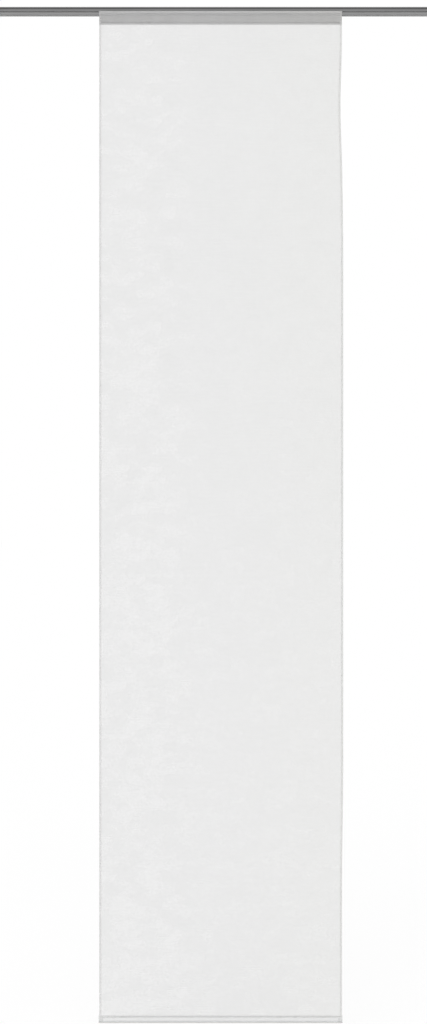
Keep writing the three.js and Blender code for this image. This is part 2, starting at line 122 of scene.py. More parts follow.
# Where noise mostly lies
NOISE_RANGE = (0.3, 0.7)
CLOUD_RANGE = (0.35, 0.65)

# How finely the cloth's thick yarns and patches repeat: features to the metre along X, Y and Z
THICK_WEFT = (24.0, 24.0, 1300.0)
THICK_WARP = (1300.0, 24.0, 20.0)
PATCHES = (24.0, 24.0, 34.0)

# How much a thick warp yarn counts beside a weft yarn, and how much more light the threads' crossings stop
WARP_SHARE = 0.6
WEAVE_OPACITY = 0.02

# Between which places along X or Z the cloth changes, and by how much: patchier and clearer towards the
# left, clearer towards the bottom as painted light against the floor's shade seen through it, and warmer
# towards the right
PATCHY_LEFT = (-0.12, -0.06)
PATCHIER = 2.6
DENSER_RIGHT = (-0.2, 0.0)
THINNER_LEFT = 0.018
PAINTED_LIGHT_HEIGHTS = (-2.4, -0.1)
CLEARER_DOWN_AS_PAINTED_LIGHT = 0.03
WARMER_RIGHT = (0.0, 0.25)

# How the hanging cloth leaves its plane. Depths are in metres, heights are below the cloth's top.
SEWN_DEPTH = 0.55 * MM
SEWN_REACH = 2.5 * MM
SEWN_CREASES = (0.0, 0.33, 0.67, 1.0)
RIPPLE_FADE = 0.22
RIPPLES = (
    # Share of the depth, radians to the metre across and down, and where it starts
    (1.0, 23.0, 1.4, 0.0),
    (0.6, 41.0, -1.3, 1.0),
    (0.5, 7.0, 5.0, 0.0),
)
EDGE_BOW = 3.1 * MM
EDGE_BOW_TOP = 0.44
EDGE_BOW_BOTTOM = 2.02
EDGE_BOW_FADE = 0.17
EDGE_DIP = 3.6 * MM
EDGE_DIP_DEPTH = 0.235
EDGE_DIP_REACH = 0.1

# How metallic the rail's channels are, where their insides are painted lighter as painted light
CHANNEL_METALLIC = 0.15

# Over which share of their height the weight bar's foot and lips fade in, and how much clearer the lips are
BAR_FADE = 0.4
LIPS_CLEARER = 0.45

# Sockets of the Mix node when it mixes colours
MIX_SHARE = 0
MIX_FIRST = 6
MIX_SECOND = 7
MIX_RESULT = 2


# Modelling tools

def select_only(piece):
    """Leaves edit mode and selects one piece alone."""
    if bpy.context.mode != "OBJECT":
        bpy.ops.object.mode_set(mode="OBJECT")
    bpy.ops.object.select_all(action="DESELECT")
    piece.select_set(True)
    bpy.context.view_layer.objects.active = piece


def name_piece(name):
    """Names the object that an operator has just made."""
    piece = bpy.context.active_object
    piece.name = name
    piece.data.name = name
    return piece


def settle(piece):
    """Moves the piece's place, turn and scale into its mesh."""
    select_only(piece)
    bpy.ops.object.transform_apply(location=True, rotation=True, scale=True)


def modify(piece, kind, **settings):
    """Adds a modifier and applies it."""
    select_only(piece)
    modifier = piece.modifiers.new(kind.title(), kind)
    for name, value in settings.items():
        setattr(modifier, name, value)
    bpy.ops.object.modifier_apply(modifier=modifier.name)


def edit_faces(piece, wanted):
    """Goes into edit mode with the faces selected for which wanted is true."""
    select_only(piece)
    bpy.ops.object.mode_set(mode="EDIT")
    bpy.ops.mesh.select_mode(type="FACE")
    bpy.ops.mesh.select_all(action="DESELECT")
    bpy.ops.object.mode_set(mode="OBJECT")
    for face in piece.data.polygons:
        face.select = wanted(face)
    bpy.ops.object.mode_set(mode="EDIT")


def edit_edges(piece, wanted):
    """Goes into edit mode with the edges selected whose two ends are both wanted places."""
    select_only(piece)
    bpy.ops.object.mode_set(mode="EDIT")
    bpy.ops.mesh.select_mode(type="EDGE")
    bpy.ops.mesh.select_all(action="DESELECT")
    bpy.ops.object.mode_set(mode="OBJECT")
    places = [wanted(vertex.co) for vertex in piece.data.vertices]
    for edge in piece.data.edges:
        edge.select = all(places[index] for index in edge.vertices)
    bpy.ops.object.mode_set(mode="EDIT")


def extrude(offset):
    bpy.ops.mesh.extrude_region_move(TRANSFORM_OT_translate={"value": offset})


def end_edit():
    bpy.ops.object.mode_set(mode="OBJECT")


def smooth(piece, degrees=35.0):
    select_only(piece)
    bpy.ops.object.shade_smooth_by_angle(angle=math.radians(degrees))


def ride_as(piece, body, slot, material, *nodes):
    """Gives a piece its material and its body, and hides the solids that it stands for."""
    piece.data.materials.clear()
    piece.data.materials.append(material)
    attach(piece, body)
    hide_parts(*nodes)
    return piece


def eased(node, name, ease):
    """The form of a solid with its triangles joined into faces, its edges eased and its curves smooth."""
    piece = bpy.data.objects.new(name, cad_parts[node].data.copy())
    bpy.context.scene.collection.objects.link(piece)
    piece.data.name = name
    select_only(piece)
    bpy.ops.mesh.customdata_custom_splitnormals_clear()
    bpy.ops.object.mode_set(mode="EDIT")
    bpy.ops.mesh.select_all(action="SELECT")
    bpy.ops.mesh.remove_doubles(threshold=MERGE_WITHIN)
    bpy.ops.mesh.dissolve_limited(angle_limit=FLAT_WITHIN)
    end_edit()
    modify(piece, "BEVEL", width=ease, segments=EASE_STEPS, limit_method="ANGLE", angle_limit=EDGE_FROM)
    smooth(piece)
    return piece


# Material tools

def feed(tree, socket, value):
    """Links a socket to another node's output, or sets it to a plain value."""
    if isinstance(value, bpy.types.NodeSocket):
        tree.links.new(value, socket)
    else:
        socket.default_value = value


def add_node(tree, kind, inputs, **settings):
    """Adds a shader node. Its inputs are given by their names or numbers."""
    node = tree.nodes.new("ShaderNode" + kind)
    for name, value in settings.items():
        setattr(node, name, value)
    for key, value in inputs.items():
        feed(tree, node.inputs[key], value)
    return node


def new_finish(name, inputs):
    """A material of one Principled shader. Returns the material, its tree and the shader."""
    material = bpy.data.materials.new(name)
    material.use_nodes = True
    tree = material.node_tree
    tree.nodes.clear()
    shader = add_node(tree, "BsdfPrincipled", inputs)
    add_node(tree, "OutputMaterial", {"Surface": shader.outputs["BSDF"]})
    return material, tree, shader


def place(tree):
    """Where a point lies on the piece."""
    return add_node(tree, "TexCoord", {}).outputs["Object"]


def noise(tree, per_metre, detail=2.0):
    """Noise on the piece's own place, with so many features to the metre along X, Y and Z."""
    mapping = add_node(tree, "Mapping", {"Vector": place(tree), "Scale": per_metre})
    made = add_node(
        tree, "TexNoise", {"Vector": mapping.outputs["Vector"], "Scale": 1.0, "Detail": detail},
    )
    return made.outputs["Fac"]


def rescale(tree, value, low, high, to_low, to_high):
    """Takes a value from one range to another, and holds it inside that."""
    made = add_node(
        tree, "MapRange",
        {"Value": value, "From Min": low, "From Max": high, "To Min": to_low, "To Max": to_high},
    )
    return made.outputs["Result"]


def calculate(tree, operation, first, second=0.0):
    return add_node(tree, "Math", {0: first, 1: second}, operation=operation).outputs[0]


def blend(tree, share, first, second, blend_type="MIX"):
    """Mixes two colours."""
    inputs = {MIX_SHARE: share, MIX_FIRST: first, MIX_SECOND: second}
    return add_node(tree, "Mix", inputs, data_type="RGBA", blend_type=blend_type).outputs[MIX_RESULT]


def toned(colour, factor):
    """The same colour, darker or lighter."""
    return tuple(min(channel * factor, 1.0) for channel in colour[:3]) + (1.0,)


def vary_colour(tree, shader, pattern, low, high, colour, first, last):
    """Tones a colour by first where the pattern is low, and by last where it is high."""
    share = rescale(tree, pattern, low, high, 0.0, 1.0)
    tint = blend(tree, share, toned(colour, first), toned(colour, last))
    feed(tree, shader.inputs["Base Color"], tint)
    return tint


def vary_roughness(tree, shader, pattern, smoothest, roughest):
    """Makes the surface smoother where the noise is low and rougher where it is high."""
    feed(tree, shader.inputs["Roughness"], rescale(tree, pattern, *NOISE_RANGE, smoothest, roughest))


def raise_surface(tree, shader, height, strength, depth):
    """Adds fine relief, depth metres deep, that is too small for the mesh."""
    bump = add_node(tree, "Bump", {"Height": height, "Strength": strength, "Distance": depth})
    feed(tree, shader.inputs["Normal"], bump.outputs["Normal"])


# Finishes

def anodised_aluminium(name, colour, roughness):
    """Satin anodised aluminium with the fine lines of its extrusion. Returns its tree and colour too."""
    material, tree, shader = new_finish(name, {"Metallic": 1.0})
    lines = noise(tree, (3.0, 3600.0, 3600.0))
    clouds = noise(tree, (7.0, 40.0, 40.0))
    tint = vary_colour(tree, shader, calculate(tree, "ADD", lines, clouds), 0.8, 1.2, colour, 0.92, 1.08)
    vary_roughness(tree, shader, lines, roughness - 0.05, roughness + 0.05)
    raise_surface(tree, shader, lines, 0.1, 0.05 * MM)
    return material, tree, shader, tint


def between(tree, value, low, high):
    """1 where a value lies between two others, and 0 elsewhere."""
    above = calculate(tree, "GREATER_THAN", value, low)
    return calculate(tree, "MULTIPLY", above, calculate(tree, "LESS_THAN", value, high))


def rail_finish(settings):
    """The rail's aluminium, with painted shade in its clip rebates, and with the insides of its channels
    painted lighter as painted light: less in the front channel and most in the rear one.
    """
    material, tree, shader, tint = anodised_aluminium("rail_anodised", settings.colour, 0.34)
    axes = add_node(tree, "SeparateXYZ", {"Vector": place(tree)})
    depth = calculate(tree, "ABSOLUTE", axes.outputs["Y"])
    low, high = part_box("track_rail")
    side = high.y - settings.wall
    corner = high.z - settings.rebate_height
    shaded = between(tree, axes.outputs["Z"], corner, corner + settings.rebate_shade)
    rebate = calculate(tree, "MULTIPLY", shaded, calculate(tree, "GREATER_THAN", depth, side))
    # Painted light: the insides of the channels are painted lighter than the rail, from the front channel's
    # colour to the rear channel's
    level = between(tree, axes.outputs["Z"], low.z + settings.ease, high.z - settings.wall / 2)
    channel = calculate(tree, "MULTIPLY", level, between(tree, depth, settings.chamber_half, side))
    dark = blend(tree, rebate, tint, toned((1.0, 1.0, 1.0), settings.rebate_tone), "MULTIPLY")
    towards_rear = rescale(tree, axes.outputs["Y"], -settings.chamber_half, settings.chamber_half, 0.0, 1.0)
    channel_painted_light = blend(tree, towards_rear, settings.front_channel_painted_light, settings.rear_channel_painted_light)
    feed(tree, shader.inputs["Base Color"], blend(tree, channel, dark, channel_painted_light))
    feed(tree, shader.inputs["Metallic"], rescale(tree, channel, 0.0, 1.0, 1.0, CHANNEL_METALLIC))
    return material


def carrier_finish(settings):
    """The carrier's aluminium, painted lighter than the rail's as painted light against the shade of the
    cloth in front, with shade in the gaps above and below the tape in its bed.
    """
    material, tree, shader, tint = anodised_aluminium("carrier_anodised", settings.colour, 0.36)
    axes = add_node(tree, "SeparateXYZ", {"Vector": place(tree)})
    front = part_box("carrier_profile")[0].y
    low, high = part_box("hook_tape")
    above = between(tree, axes.outputs["Z"], high.z, high.z + settings.bed_gap)
    below = between(tree, axes.outputs["Z"], low.z - settings.bed_gap, low.z)
    in_front = calculate(tree, "LESS_THAN", axes.outputs["Y"], front + settings.bed_gap)
    gap = calculate(tree, "MULTIPLY", calculate(tree, "ADD", above, below), in_front)
    shade = blend(tree, gap, tint, toned((1.0, 1.0, 1.0), settings.gap_tone), "MULTIPLY")
    feed(tree, shader.inputs["Base Color"], shade)
    return material


def moulded_plastic(name, colour, roughness):
    """Moulded plastic with a fine spark-eroded grain and a faint change of tone."""
    material, tree, shader = new_finish(name, {})
    pits = noise(tree, (1400.0, 1400.0, 1400.0))
    clouds = noise(tree, (70.0, 70.0, 70.0))
    vary_colour(tree, shader, clouds, *CLOUD_RANGE, colour, 0.95, 1.05)
    vary_roughness(tree, shader, pits, roughness - 0.05, roughness + 0.07)
    raise_surface(tree, shader, pits, 0.15, 0.04 * MM)
    return material


def turned_steel(name, colour):
    """Blackened steel with fine turning marks round its axis."""
    material, tree, shader = new_finish(name, {"Metallic": 1.0})
    marks = noise(tree, (300.0, 300.0, 9000.0))
    vary_colour(tree, shader, marks, *NOISE_RANGE, colour, 0.85, 1.1)
    vary_roughness(tree, shader, marks, 0.25, 0.4)
    raise_surface(tree, shader, marks, 0.2, 0.03 * MM)
    return material


def woven_pile(name, colour, pitch):
    """Nylon tape whose surface is full of small hooks or loops, pitch metres apart."""
    material, tree, shader = new_finish(name, {"Sheen Weight": 0.3})
    tufts = add_node(tree, "TexVoronoi", {"Vector": place(tree), "Scale": 1.0 / pitch, "Randomness": 0.6})
    fuzz = noise(tree, (1800.0, 1800.0, 1800.0), 3.0)
    height = calculate(tree, "ADD", tufts.outputs["Distance"], calculate(tree, "MULTIPLY", fuzz, 0.4))
    vary_colour(tree, shader, height, 0.2, 1.0, colour, 1.15, 0.75)
    vary_roughness(tree, shader, fuzz, 0.85, 0.95)
    raise_surface(tree, shader, height, 0.7, 0.2 * MM)
    return material


def panel_cloth(settings):
    """Sheer plain weave with uneven slub yarns across it. Thick yarns let less light through."""
    material, tree, shader = new_finish("panel_cloth", {"Sheen Weight": 0.1, "Specular IOR Level": 0.2})
    axes = add_node(tree, "SeparateXYZ", {"Vector": place(tree)})
    turns = 2 * math.pi / settings.thread_pitch
    warp = calculate(tree, "SINE", calculate(tree, "MULTIPLY", axes.outputs["X"], turns))
    weft = calculate(tree, "SINE", calculate(tree, "MULTIPLY", axes.outputs["Z"], turns))
    weave = calculate(tree, "MULTIPLY", warp, weft)
    slubs = rescale(tree, noise(tree, THICK_WEFT, 1.0), 0.55, 0.75, 0.0, 1.0)
    risen = rescale(tree, noise(tree, THICK_WARP, 1.0), 0.57, 0.75, 0.0, 1.0)
    yarn = calculate(tree, "ADD", slubs, calculate(tree, "MULTIPLY", risen, WARP_SHARE))
    mottling = rescale(tree, noise(tree, PATCHES, 1.0), *NOISE_RANGE, -1.0, 1.0)
    uneven = rescale(tree, axes.outputs["X"], *PATCHY_LEFT, PATCHIER * settings.mottling, settings.mottling)
    # Clearer towards the left, and clearer towards the bottom as painted light against the floor's shade
    # seen through the cloth
    thinner_and_painted_light = calculate(
        tree, "ADD", rescale(tree, axes.outputs["X"], *DENSER_RIGHT, THINNER_LEFT, 0.0),
        rescale(tree, axes.outputs["Z"], *PAINTED_LIGHT_HEIGHTS, CLEARER_DOWN_AS_PAINTED_LIGHT, 0.0),
    )
    opacity = calculate(tree, "SUBTRACT", settings.opacity, thinner_and_painted_light)
    cover = calculate(tree, "ADD", calculate(tree, "MULTIPLY", mottling, uneven), opacity)
    cover = calculate(tree, "ADD", cover, calculate(tree, "MULTIPLY", yarn, settings.slub_strength))
    cover = calculate(tree, "ADD", cover, calculate(tree, "MULTIPLY", weave, WEAVE_OPACITY))
    layers = add_node(tree, "Attribute", {}, attribute_name=COVER)
    feed(tree, shader.inputs["Alpha"], calculate(tree, "MULTIPLY", cover, layers.outputs["Fac"]))
    warmth = rescale(tree, axes.outputs["X"], *WARMER_RIGHT, 0.0, 1.0)
    feed(tree, shader.inputs["Base Color"], blend(tree, warmth, settings.colour, settings.warm_colour))
    feed(tree, shader.inputs["Roughness"], rescale(tree, slubs, 0.0, 1.0, 0.88, 0.78))
    height = calculate(tree, "ADD", calculate(tree, "MULTIPLY", weave, 0.5), yarn)
    raise_surface(tree, shader, height, 0.3, 0.08 * MM)
    return material


def sewing_thread(colour, opacity):
    """Fine half-clear thread, twisted along its length."""
    material, tree, shader = new_finish("sewing_thread", {"Sheen Weight": 0.2, "Alpha": opacity})
    twist = noise(tree, (5000.0, 5000.0, 5000.0))
    vary_colour(tree, shader, twist, *NOISE_RANGE, colour, 0.9, 1.05)
    vary_roughness(tree, shader, twist, 0.6, 0.8)
    raise_surface(tree, shader, twist, 0.3, 0.05 * MM)
    return material


def milky_plastic(name, colour, opacity, roughness):
    """Translucent extruded plastic with faint drawing lines. Returns its tree and shader too."""
    material, tree, shader = new_finish(name, {"Alpha": opacity})
    lines = noise(tree, (5.0, 2500.0, 2500.0))
    clouds = noise(tree, (9.0, 60.0, 60.0))
    vary_colour(tree, shader, clouds, *CLOUD_RANGE, colour, 0.97, 1.03)
    vary_roughness(tree, shader, lines, roughness - 0.05, roughness + 0.08)
    raise_surface(tree, shader, lines, 0.1, 0.05 * MM)
    return material, tree, shader


def bar_finish(settings):
    """The weight bar's plastic, which looks denser through its rounded foot and clearer at its lips."""
    material, tree, shader = milky_plastic("bar_plastic", settings.colour, settings.opacity, 0.3)
    axes = add_node(tree, "SeparateXYZ", {"Vector": place(tree)})
    low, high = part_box("weight_bar")
    height = axes.outputs["Z"]
    foot = low.z + settings.foot
    lips = high.z - settings.lips
    dense = rescale(
        tree, height, foot - settings.foot * BAR_FADE, foot, settings.foot_opacity, settings.opacity,
    )
    clearer = rescale(
        tree, height, lips, lips + settings.lips * BAR_FADE, 0.0, settings.opacity * LIPS_CLEARER,
    )
    feed(tree, shader.inputs["Alpha"], calculate(tree, "SUBTRACT", dense, clearer))
    return material


# Settings

def colour_setting(name, description, value):
    return bpy.props.FloatVectorProperty(
        name=name, description=description, subtype="COLOR", size=4, min=0.0, max=1.0, default=value,
    )


def length_setting(name, description, value, highest):
    return bpy.props.FloatProperty(
        name=name, description=description, unit="LENGTH", min=0.0, max=highest, default=value, precision=5,
    )


def share_setting(name, description, value):
    return bpy.props.FloatProperty(
        name=name, description=description, subtype="FACTOR", min=0.0, max=1.0, default=value,
    )


class RailSettings(bpy.types.PropertyGroup):
    colour: colour_setting("Colour", "Anodised colour of the rail", (0.215, 0.215, 0.217, 1.0))
    cap_colour: colour_setting("Cap colour", "Colour of the end caps and end stops", (0.2, 0.2, 0.202, 1.0))
    # Both channel colours are painted light, lighter than the rail where the channels lie in shade: less at
    # the front, most at the rear
    front_channel_painted_light: colour_setting("Front channel", "Dulled by gliders", (0.38, 0.38, 0.38, 1.0))
    rear_channel_painted_light: colour_setting("Rear channel", "Bare metal", (0.95, 0.95, 0.95, 1.0))
    rebate_height: length_setting("Rebate height", "Height of the clip rebates", 4.4 * MM, 0.01)
    rebate_shade: length_setting("Rebate shade", "Height of the shade in their corner", 1.9 * MM, 0.01)
    rebate_tone: share_setting("Rebate tone", "How much of its brightness that corner keeps", 0.12)
    wall: length_setting("Side wall", "Thickness of the rail's sides", 1.5 * MM, 0.01)
    chamber_half: length_setting("Half chamber", "From the rail's middle to its channels", 5.5 * MM, 0.02)
    ease: length_setting("Edge ease", "Width of the eased edges", 0.15 * MM, 0.001)


class CarrierSettings(bpy.types.PropertyGroup):
    # Painted light: the carrier's colour is lighter than the rail's to make up for the shade of the cloth
    # in front of it
    colour: colour_setting("Colour", "Anodised colour of the carrier", (0.47, 0.47, 0.472, 1.0))
    glider_colour: colour_setting("Glider colour", "Colour of the gliders", (0.78, 0.78, 0.75, 1.0))
    screw_colour: colour_setting("Screw colour", "Colour of the stops' screws", (0.12, 0.12, 0.12, 1.0))
    tape_colour: colour_setting("Tape colour", "Colour of both tapes", (0.55, 0.55, 0.545, 1.0))
    bed_gap: length_setting("Bed gap", "Gap above and below the tape in its bed", 1.0 * MM, 0.01)
    gap_tone: share_setting("Gap tone", "How much of its brightness the metal keeps in that gap", 0.05)
    tape_base: length_setting("Tape base", "Thickness of the tapes under their pile", 0.4 * MM, 0.001)
    hook_pitch: length_setting("Hook pitch", "Distance from hook to hook", 1.4 * MM, 0.01)
    loop_pitch: length_setting("Loop pitch", "Distance from loop to loop", 1.2 * MM, 0.01)


class ClothSettings(bpy.types.PropertyGroup):
    colour: colour_setting("Colour", "Colour of the yarn", (0.862, 0.860, 0.860, 1.0))
    warm_colour: colour_setting("Warm colour", "Its colour at the right", (0.862, 0.860, 0.848, 1.0))
    thread_colour: colour_setting("Thread colour", "Colour of the sewing thread", (0.88, 0.88, 0.875, 1.0))
    thread_opacity: share_setting("Opacity of the thread", "Share of the light that its face stops", 0.4)
    opacity: share_setting("Opacity of a side", "Share of the light that one face stops", 0.318)
    side_cover: share_setting("Side cover", "How much of that a side hem or the lowest fold stops", 0.88)
    top_cover: bpy.props.FloatProperty(
        name="Top cover", description="The same for the doubled top hem", min=0.0, max=3.0, default=2.0,
    )
    slub_strength: share_setting("Slub strength", "How much more light a thick yarn stops", 0.024)
    mottling: share_setting("Mottling", "How unevenly the cloth is woven", 0.0115)
    thickness: length_setting("Thickness", "Thickness of one layer of cloth", 0.3 * MM, 0.001)
    ripple: length_setting("Ripple", "Depth of the soft ripples in the hanging cloth", 0.7 * MM, 0.005)
    thread_pitch: length_setting("Thread pitch", "Distance from thread to thread", 1.1 * MM, 0.005)
    stitch_pitch: length_setting("Stitch pitch", "Distance from stitch to stitch", 3.4 * MM, 0.01)
    stitch_radius: length_setting("Stitch radius", "Half the thread's thickness", 0.1 * MM, 0.001)


class BarSettings(bpy.types.PropertyGroup):
    colour: colour_setting("Colour", "Colour of the weight bar", (0.62, 0.63, 0.625, 1.0))
    opacity: share_setting("Opacity of a side", "Share of the light that one face of the bar stops", 0.11)
    foot_opacity: share_setting("Opacity of the foot", "The same for the bar's rounded foot", 0.29)
    foot: length_setting("Foot", "Height of the bar's denser foot", 5.0 * MM, 0.02)
    lips: length_setting("Lips", "Height of the bar's clearer lips", 8.0 * MM, 0.02)
    cap_opacity: share_setting("Opacity of a cap", "Share of the light that one face of a cap stops", 0.14)
    rod_colour: colour_setting("Rod colour", "Colour of the keder rod", (0.85, 0.85, 0.84, 1.0))
    rod_opacity: share_setting("Opacity of the rod", "Share of the light that one face of it stops", 0.16)


class StageSettings(bpy.types.PropertyGroup):
    ambient: bpy.props.FloatProperty(
        name="Ambient", description="Strength of the light from all round", min=0.0, max=2.0, default=0.82,
    )
    key: bpy.props.FloatProperty(
        name="Key lamp", description="Strength of the soft lamp in front", min=0.0, max=5.0, default=0.55,
    )
    fill: bpy.props.FloatProperty(
        name="Fill lamp", description="Strength of the soft lamp behind", min=0.0, max=5.0, default=0.3,
    )
    floor_colour: share_setting("Floor colour", "Brightness of the floor", 0.5)
    floor_gap: length_setting("Floor gap", "Distance from the weight bar down to the floor", 0.12, 0.5)


# The cloth

def ease_in(value, low, high):
    """0 below low, 1 above high and smooth between."""
    share = min(max((value - low) / (high - low), 0.0), 1.0)
    return share * share * (3 - 2 * share)


def cloth_planes():
    """The middle planes of the cloth's front layer, its side hems and its top hem, from front to back."""
    low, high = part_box("weight_bar")
    layer = bpy.context.scene.curtain_cloth.thickness
    front = (low.y + high.y) / 2 - CLOTH_BEFORE_BAR_MIDDLE + layer / 2
    step = layer + HEM_GAP
    return front, front + step, front + 2 * step


def hang(piece):
    """Moves each point of a piece of the flat cloth to where it hangs.

    The cloth is sewn against the tape on its back. Below the header soft ripples come in, which fade out
    again above the weight bar. The right edge dips in under the header and then stands out a little.
    """
    cloth_low, cloth_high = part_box("panel_fabric")
    tape_low, tape_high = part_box("loop_tape")
    carrier_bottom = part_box("carrier_profile")[0].z
    bar_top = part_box("weight_bar")[1].z
    ripple = bpy.context.scene.curtain_cloth.ripple
    for vertex in piece.data.vertices:
        x, z = vertex.co.x, vertex.co.z
        depth = cloth_high.z - z
        bow = ease_in(depth, EDGE_BOW_TOP - EDGE_BOW_FADE, EDGE_BOW_TOP + EDGE_BOW_FADE)
        bow -= ease_in(depth, EDGE_BOW_BOTTOM - EDGE_BOW_FADE, EDGE_BOW_BOTTOM + EDGE_BOW_FADE)
        dip = math.exp(-((depth - EDGE_DIP_DEPTH) / EDGE_DIP_REACH) ** 2)
        to_right = max(x / cloth_high.x, 0.0) ** 3
        sewn = ease_in(z, tape_low.z - SEWN_REACH, tape_low.z)
        sewn -= ease_in(z, tape_high.z, tape_high.z + SEWN_REACH)
        free = ease_in(carrier_bottom - z, 0.0, RIPPLE_FADE) * ease_in(z - bar_top, 0.0, RIPPLE_FADE)
        wave = 0.0
        for share, per_x, per_z, start in RIPPLES:
            wave += share * math.sin(per_x * x + per_z * z + start)
        vertex.co.x += (EDGE_BOW * bow - EDGE_DIP * dip) * to_right
        vertex.co.y += SEWN_DEPTH * sewn + ripple * free * wave
    piece.data.update()


def crease_at_tape(cloth):
    """Cuts rows into the sheet where it bends against the tape."""
    low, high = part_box("loop_tape")
    bends = [low.z - SEWN_REACH * share for share in SEWN_CREASES]
    bends += [high.z + SEWN_REACH * share for share in SEWN_CREASES]
    for height in bends:
        edit_faces(cloth, lambda face: True)
        bpy.ops.mesh.bisect(plane_co=(0.0, 0.0, height), plane_no=(0.0, 0.0, 1.0))
        end_edit()


def turn_back_side(cloth, side, edge_x, step):
    """Folds a narrow hem back along one side of the cloth."""
    edit_edges(cloth, lambda co: abs(co.x - edge_x) < NEAR)
    extrude((0.0, step, 0.0))
    extrude((-side * HEM, 0.0, 0.0))
    end_edit()


def turn_back_top(cloth, front, top, step):
    """Folds the top hem back behind the side hems, whose ends stop short of the fold."""
    for vertex in cloth.data.vertices:
        if vertex.co.y > front + step / 2 and vertex.co.z > top - HEM_END_GAP:
            vertex.co.z = top - HEM_END_GAP
    edit_edges(cloth, lambda co: co.z > top - NEAR)
    extrude((0.0, 2 * step, 0.0))
    extrude((0.0, 0.0, -HEM))
    end_edit()


def fold_round_keder(cloth, front, bottom, centre, turn, tail):
    """Takes the cloth's lowest edge under the keder rod, up behind it and on as a short tail."""
    edit_edges(cloth, lambda co: co.z < bottom + NEAR and co.y < front + NEAR)
    bpy.ops.mesh.spin(steps=KEDER_FOLD_STEPS, angle=-turn, center=centre, axis=(1.0, 0.0, 0.0))
    extrude((0.0, 0.0, tail))
    end_edit()


def weigh_layers(cloth, behind_front, behind_sides, bar_top):
    """Stores how much light each layer stops: 1 for the sheet, less or more for what is turned back."""
    settings = bpy.context.scene.curtain_cloth
    covers = []
    for vertex in cloth.data.vertices:
        if vertex.co.z > bar_top and vertex.co.y > behind_sides:
            covers.append(settings.top_cover)
        elif vertex.co.y > behind_front:
            covers.append(settings.side_cover)
        else:
            covers.append(1.0)
    cover = cloth.data.attributes.new(COVER, "FLOAT", "POINT")
    cover.data.foreach_set("value", covers)


def make_cloth():
    """A flat sheet with narrow hems turned back at its sides and top, and a fold round the keder rod."""
    low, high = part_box("panel_fabric")
    keder_low, keder_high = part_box("keder_rod")
    bar_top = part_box("weight_bar")[1].z
    layer = bpy.context.scene.curtain_cloth.thickness
    front, side_hem, _ = cloth_planes()
    step = side_hem - front
    centre = (0.0, (keder_low.y + keder_high.y) / 2, (keder_low.z + keder_high.z) / 2)
    radius = (high.y - low.y) / 2 - layer / 2 - KEDER_FOLD_GAP
    lean = math.acos((centre[1] - front) / radius)
    bottom = centre[2] + radius * math.sin(lean)
    top = high.z - layer / 2
    width = high.x - low.x - layer
    bpy.ops.object.select_all(action="DESELECT")
    bpy.ops.mesh.primitive_grid_add(
        x_subdivisions=CLOTH_COLUMNS, y_subdivisions=CLOTH_ROWS, size=1.0,
        location=(0.0, front, (top + bottom) / 2), rotation=(math.pi / 2, 0.0, 0.0),
    )
    cloth = name_piece("cloth_panel")
    cloth.scale = (width, top - bottom, 1.0)
    settle(cloth)
    crease_at_tape(cloth)
    for side in (-1, 1):
        turn_back_side(cloth, side, side * width / 2, step)
    turn_back_top(cloth, front, top, step)
    fold_round_keder(cloth, front, bottom, centre, math.pi + 2 * lean, bar_top - TAIL_TOP_GAP - bottom)
    edit_faces(cloth, lambda face: True)
    bpy.ops.mesh.normals_make_consistent(inside=False)
    end_edit()
    weigh_layers(cloth, front + step / 2, front + 1.5 * step, bar_top)
    modify(cloth, "SOLIDIFY", thickness=layer, offset=0.0, use_even_offset=True)
    hang(cloth)
    smooth(cloth, 50.0)
    return cloth


def stitch_row(name, start, along, length, depths):
    """A row of stitches from start along X or Z: one tapered stitch, repeated, on each given face."""
    settings = bpy.context.scene.curtain_cloth
    pitch = settings.stitch_pitch
    turn = (0.0, math.pi / 2, 0.0) if along.x else (0.0, 0.0, 0.0)
    bpy.ops.object.select_all(action="DESELECT")
    bpy.ops.mesh.primitive_cylinder_add(
        vertices=6, radius=settings.stitch_radius, depth=pitch * STITCH_LENGTH, end_fill_type="NGON",
        location=(start[0], depths[0], start[1]), rotation=turn,
    )
    row = name_piece(name)
    settle(row)
    edit_faces(row, lambda face: abs(face.normal.dot(along)) > 0.9)
    bpy.ops.mesh.inset(thickness=settings.stitch_radius * STITCH_INSET, depth=pitch * STITCH_TAPER)
    end_edit()
    modify(
        row, "ARRAY", count=int(length / pitch), use_relative_offset=False, use_constant_offset=True,
        constant_offset_displace=along * pitch,
    )
    if len(depths) > 1:
        modify(
            row, "ARRAY", count=2, use_relative_offset=False, use_constant_offset=True,
            constant_offset_displace=(0.0, depths[1] - depths[0], 0.0),
        )
    hang(row)
    smooth(row)
    return row


def make_stitching():
    """Lockstitch along both side hems, the top hem and both edges of the loop tape."""
    low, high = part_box("panel_fabric")
    tape_low, tape_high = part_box("loop_tape")
    bar_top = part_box("weight_bar")[1].z
    front, side_hem, top_hem = cloth_planes()
    half = bpy.context.scene.curtain_cloth.thickness / 2
    seam = HEM - SEAM_INSET
    up, right = Vector((0.0, 0.0, 1.0)), Vector((1.0, 0.0, 0.0))
    inner = (low.x + HEM + SEAM_INSET, high.x - HEM - SEAM_INSET)
    rows = []
    for side, x in (("left", low.x + seam), ("right", high.x - seam)):
        drop = high.z - HEM - bar_top - 3 * SEAM_INSET
        start = (x, bar_top + SEAM_INSET)
        rows.append(stitch_row(f"hem_stitching_{side}", start, up, drop, (front - half, side_hem + half)))
    width = inner[1] - inner[0]
    start = (inner[0], high.z - seam)
    rows.append(stitch_row("hem_stitching_top", start, right, width, (front - half, top_hem + half)))
    for edge, z in (("upper", tape_high.z - SEAM_INSET), ("lower", tape_low.z + SEAM_INSET)):
        rows.append(stitch_row(f"tape_stitching_{edge}", (inner[0], z), right, width, (front - half,)))
    return rows


# Tapes

